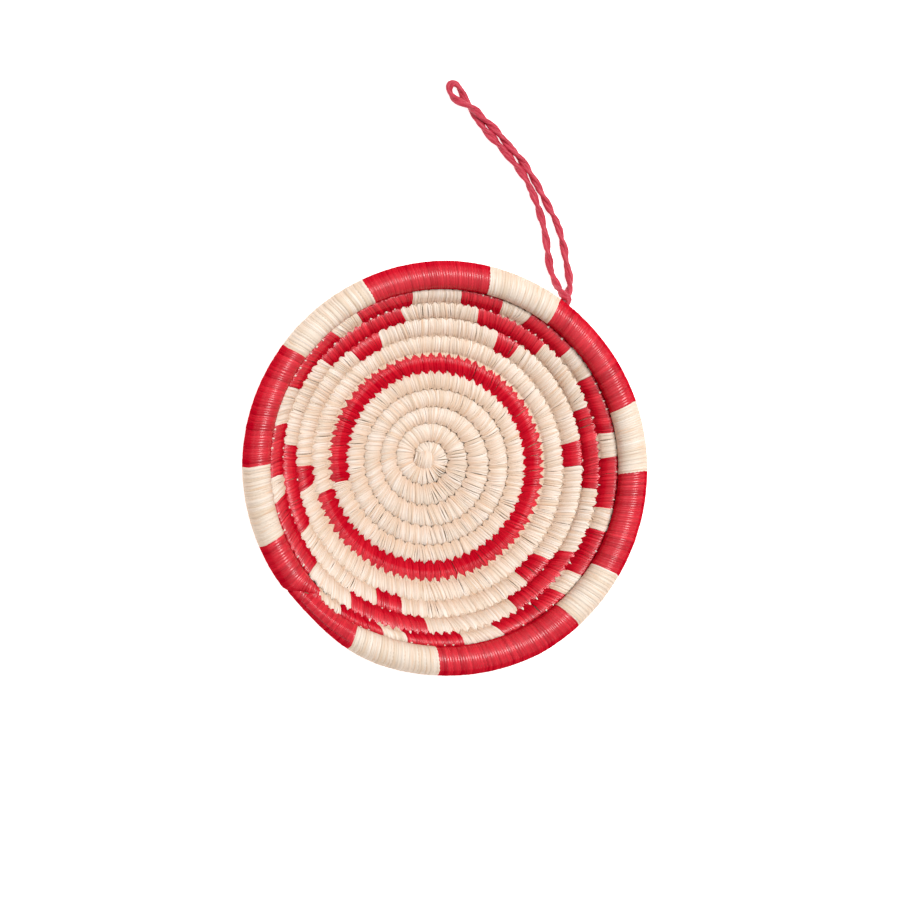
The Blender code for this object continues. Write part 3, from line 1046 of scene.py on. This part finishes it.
def makeSeam():
    pattern = strandPattern(6, seam["parts"], flat=True)
    lines, sideways = [], []
    for angle, share in seam["points"]:
        turns = asTurns(angle)
        first = share + dice.uniform(-seam["uneven"], seam["uneven"])
        middle = (seam["strands"] - 1) / 2
        flatWay = rimPlace(turns, seam["flatAt"], 0.0) - rimPlace(turns + 0.0005, seam["flatAt"], 0.0)
        for number in range(seam["strands"]):
            beside = (number - middle) * seam["spacing"] / (2.0 * math.pi * seam["radius"])
            tip = first + seam["uneven"] * abs(number - middle)
            corners = []
            for onRow, spreading in ((tip, seam["nearEnd"]), ((first + 1.0) / 2, seam["nearRim"])):
                lift = np.interp(onRow, stitches["shares"], stitches["lifts"]) + seam["proud"]
                corners.append(rowPlace(turns - 1.0 + beside * spreading, onRow, lift))
            for around in seam["around"]:
                corners.append(rimPlace(turns + beside, around, seam["proud"]))
            way, _ = evenly(smoothWay(corners), seam["parts"])
            lines.append(way)
            sideways.append(np.broadcast_to(flatWay, way.shape))
    lines, sideways = np.array(lines), np.array(sideways)
    along = np.linspace(0.0, 1.0, seam["parts"] + 1)
    narrowing = np.interp(along, (0.0, 0.25, 0.85, 1.0), (0.35, 1.0, 1.0, 0.5))
    width = np.repeat(narrowing[None, :] * seam["halfWidth"], len(lines), axis=0)
    thick = np.repeat(narrowing[None, :] * seam["halfThick"], len(lines), axis=0)
    places = sweptStrands(pattern, lines, sideways, width, thick)
    spread = strandMap(pattern, lines, width)
    tones = dice.normal(0.1, 0.25, (len(lines), 1))
    piece = meshOfCopies("seamStitches", pattern, places, spread, tones, 0.55, redRaffia)
    bowlPiece(piece)
    print("seam stitched over")


makeSeam()


# The knot of strands in the middle, where the coil starts.

knot = {
    "strands": 11,
    # from the middle of the coil: where the first and the last strand start, bulge and end
    "starts": ((-0.0046, 0.0046), (-0.0017, 0.0051)),
    "middles": ((-0.0053, 0.0020), (-0.0013, 0.0018)),
    "ends": ((-0.0060, -0.0002), (-0.0016, -0.0019)),
    # heights along the strands, and how much lower the knot's sides lie than its middle
    "sides": (
        ("centreKnot", (0.0034, 0.0046, 0.0050, 0.0046, 0.0034), 0.0006),
        ("lowerKnot", (0.0012, 0.0005, 0.0003, 0.0005, 0.0012), -0.0005),
    ),
    "halfWidth": 0.00030,
    "halfThick": 0.00013,
    "parts": 14,
    "uneven": 0.00012,
}


def makeKnot(name, heights, crown):
    pattern = strandPattern(6, knot["parts"], flat=True)
    lines, sideways = [], []
    for number in range(knot["strands"]):
        across = number / (knot["strands"] - 1)
        first, middle, last = (
            np.array(left) * (1 - across) + np.array(right) * across + dice.normal(0.0, knot["uneven"], 2)
            for left, right in (knot["starts"], knot["middles"], knot["ends"])
        )
        flat = (first, (first + middle) / 2, middle, (middle + last) / 2, last)
        lower = crown * (2 * across - 1) ** 2
        corners = [np.array((*place, height - lower)) + shift for place, height in zip(flat, heights)]
        way, _ = evenly(smoothWay(corners), knot["parts"])
        lines.append(way)
        sideways.append(np.broadcast_to((1.0, 0.15, 0.3 * (0.5 - across)), way.shape))
    lines, sideways = np.array(lines), np.array(sideways)
    width = np.full(lines.shape[:2], knot["halfWidth"])
    thick = np.full(lines.shape[:2], knot["halfThick"])
    places = sweptStrands(pattern, lines, sideways, width, thick)
    places[..., 2] = np.maximum(places[..., 2], 0.0)
    spread = strandMap(pattern, lines, width)
    tones = dice.normal(0.1, 0.3, (len(lines), 1))
    piece = meshOfCopies(name, pattern, places, spread, tones, 0.5, naturalRaffia)
    bowlPiece(piece)
    print(name, "tied")


for name, heights, crown in knot["sides"]:
    makeKnot(name, heights, crown)


# Floor and light.

studio = {
    "floorSize": 4.0,
    "floorColour": (0.9, 0.9, 0.9),
    "floorGlow": 0.75,
    "worldStrength": 0.45,
    "lamps": (
        ("topLamp", (0.30, 0.22, 0.9), 0.4, 9.0),
        ("leftLamp", (-0.8, 0.5, 0.7), 0.6, 1.5),
    ),
}


def addStudio():
    deselectAll()
    bpy.ops.mesh.primitive_plane_add(size=studio["floorSize"], location=(0.0, 0.0, 0.0))
    floor = bpy.context.object
    floor.name = "floor"
    material = bpy.data.materials.new("floorWhite")
    material.use_nodes = True
    shader = material.node_tree.nodes["Principled BSDF"]
    shader.inputs["Base Color"].default_value = (*studio["floorColour"], 1.0)
    shader.inputs["Roughness"].default_value = 0.9
    shader.inputs["Emission Color"].default_value = (1.0, 1.0, 1.0, 1.0)
    shader.inputs["Emission Strength"].default_value = studio["floorGlow"]
    floor.data.materials.append(material)
    world = bpy.data.worlds.new("studioWorld")
    world.use_nodes = True
    world.node_tree.nodes["Background"].inputs["Color"].default_value = (1.0, 1.0, 1.0, 1.0)
    world.node_tree.nodes["Background"].inputs["Strength"].default_value = studio["worldStrength"]
    bpy.context.scene.world = world
    for name, place, size, power in studio["lamps"]:
        bpy.ops.object.light_add(type="AREA", location=place)
        lamp = bpy.context.object
        lamp.name = name
        lamp.data.size = size
        lamp.data.energy = power
        lamp.rotation_euler = (-Vector(place)).to_track_quat("-Z", "Y").to_euler()
    bpy.context.scene.view_settings.view_transform = "Standard"
    bpy.context.scene.view_settings.look = "None"


addStudio()
print("studio lit")
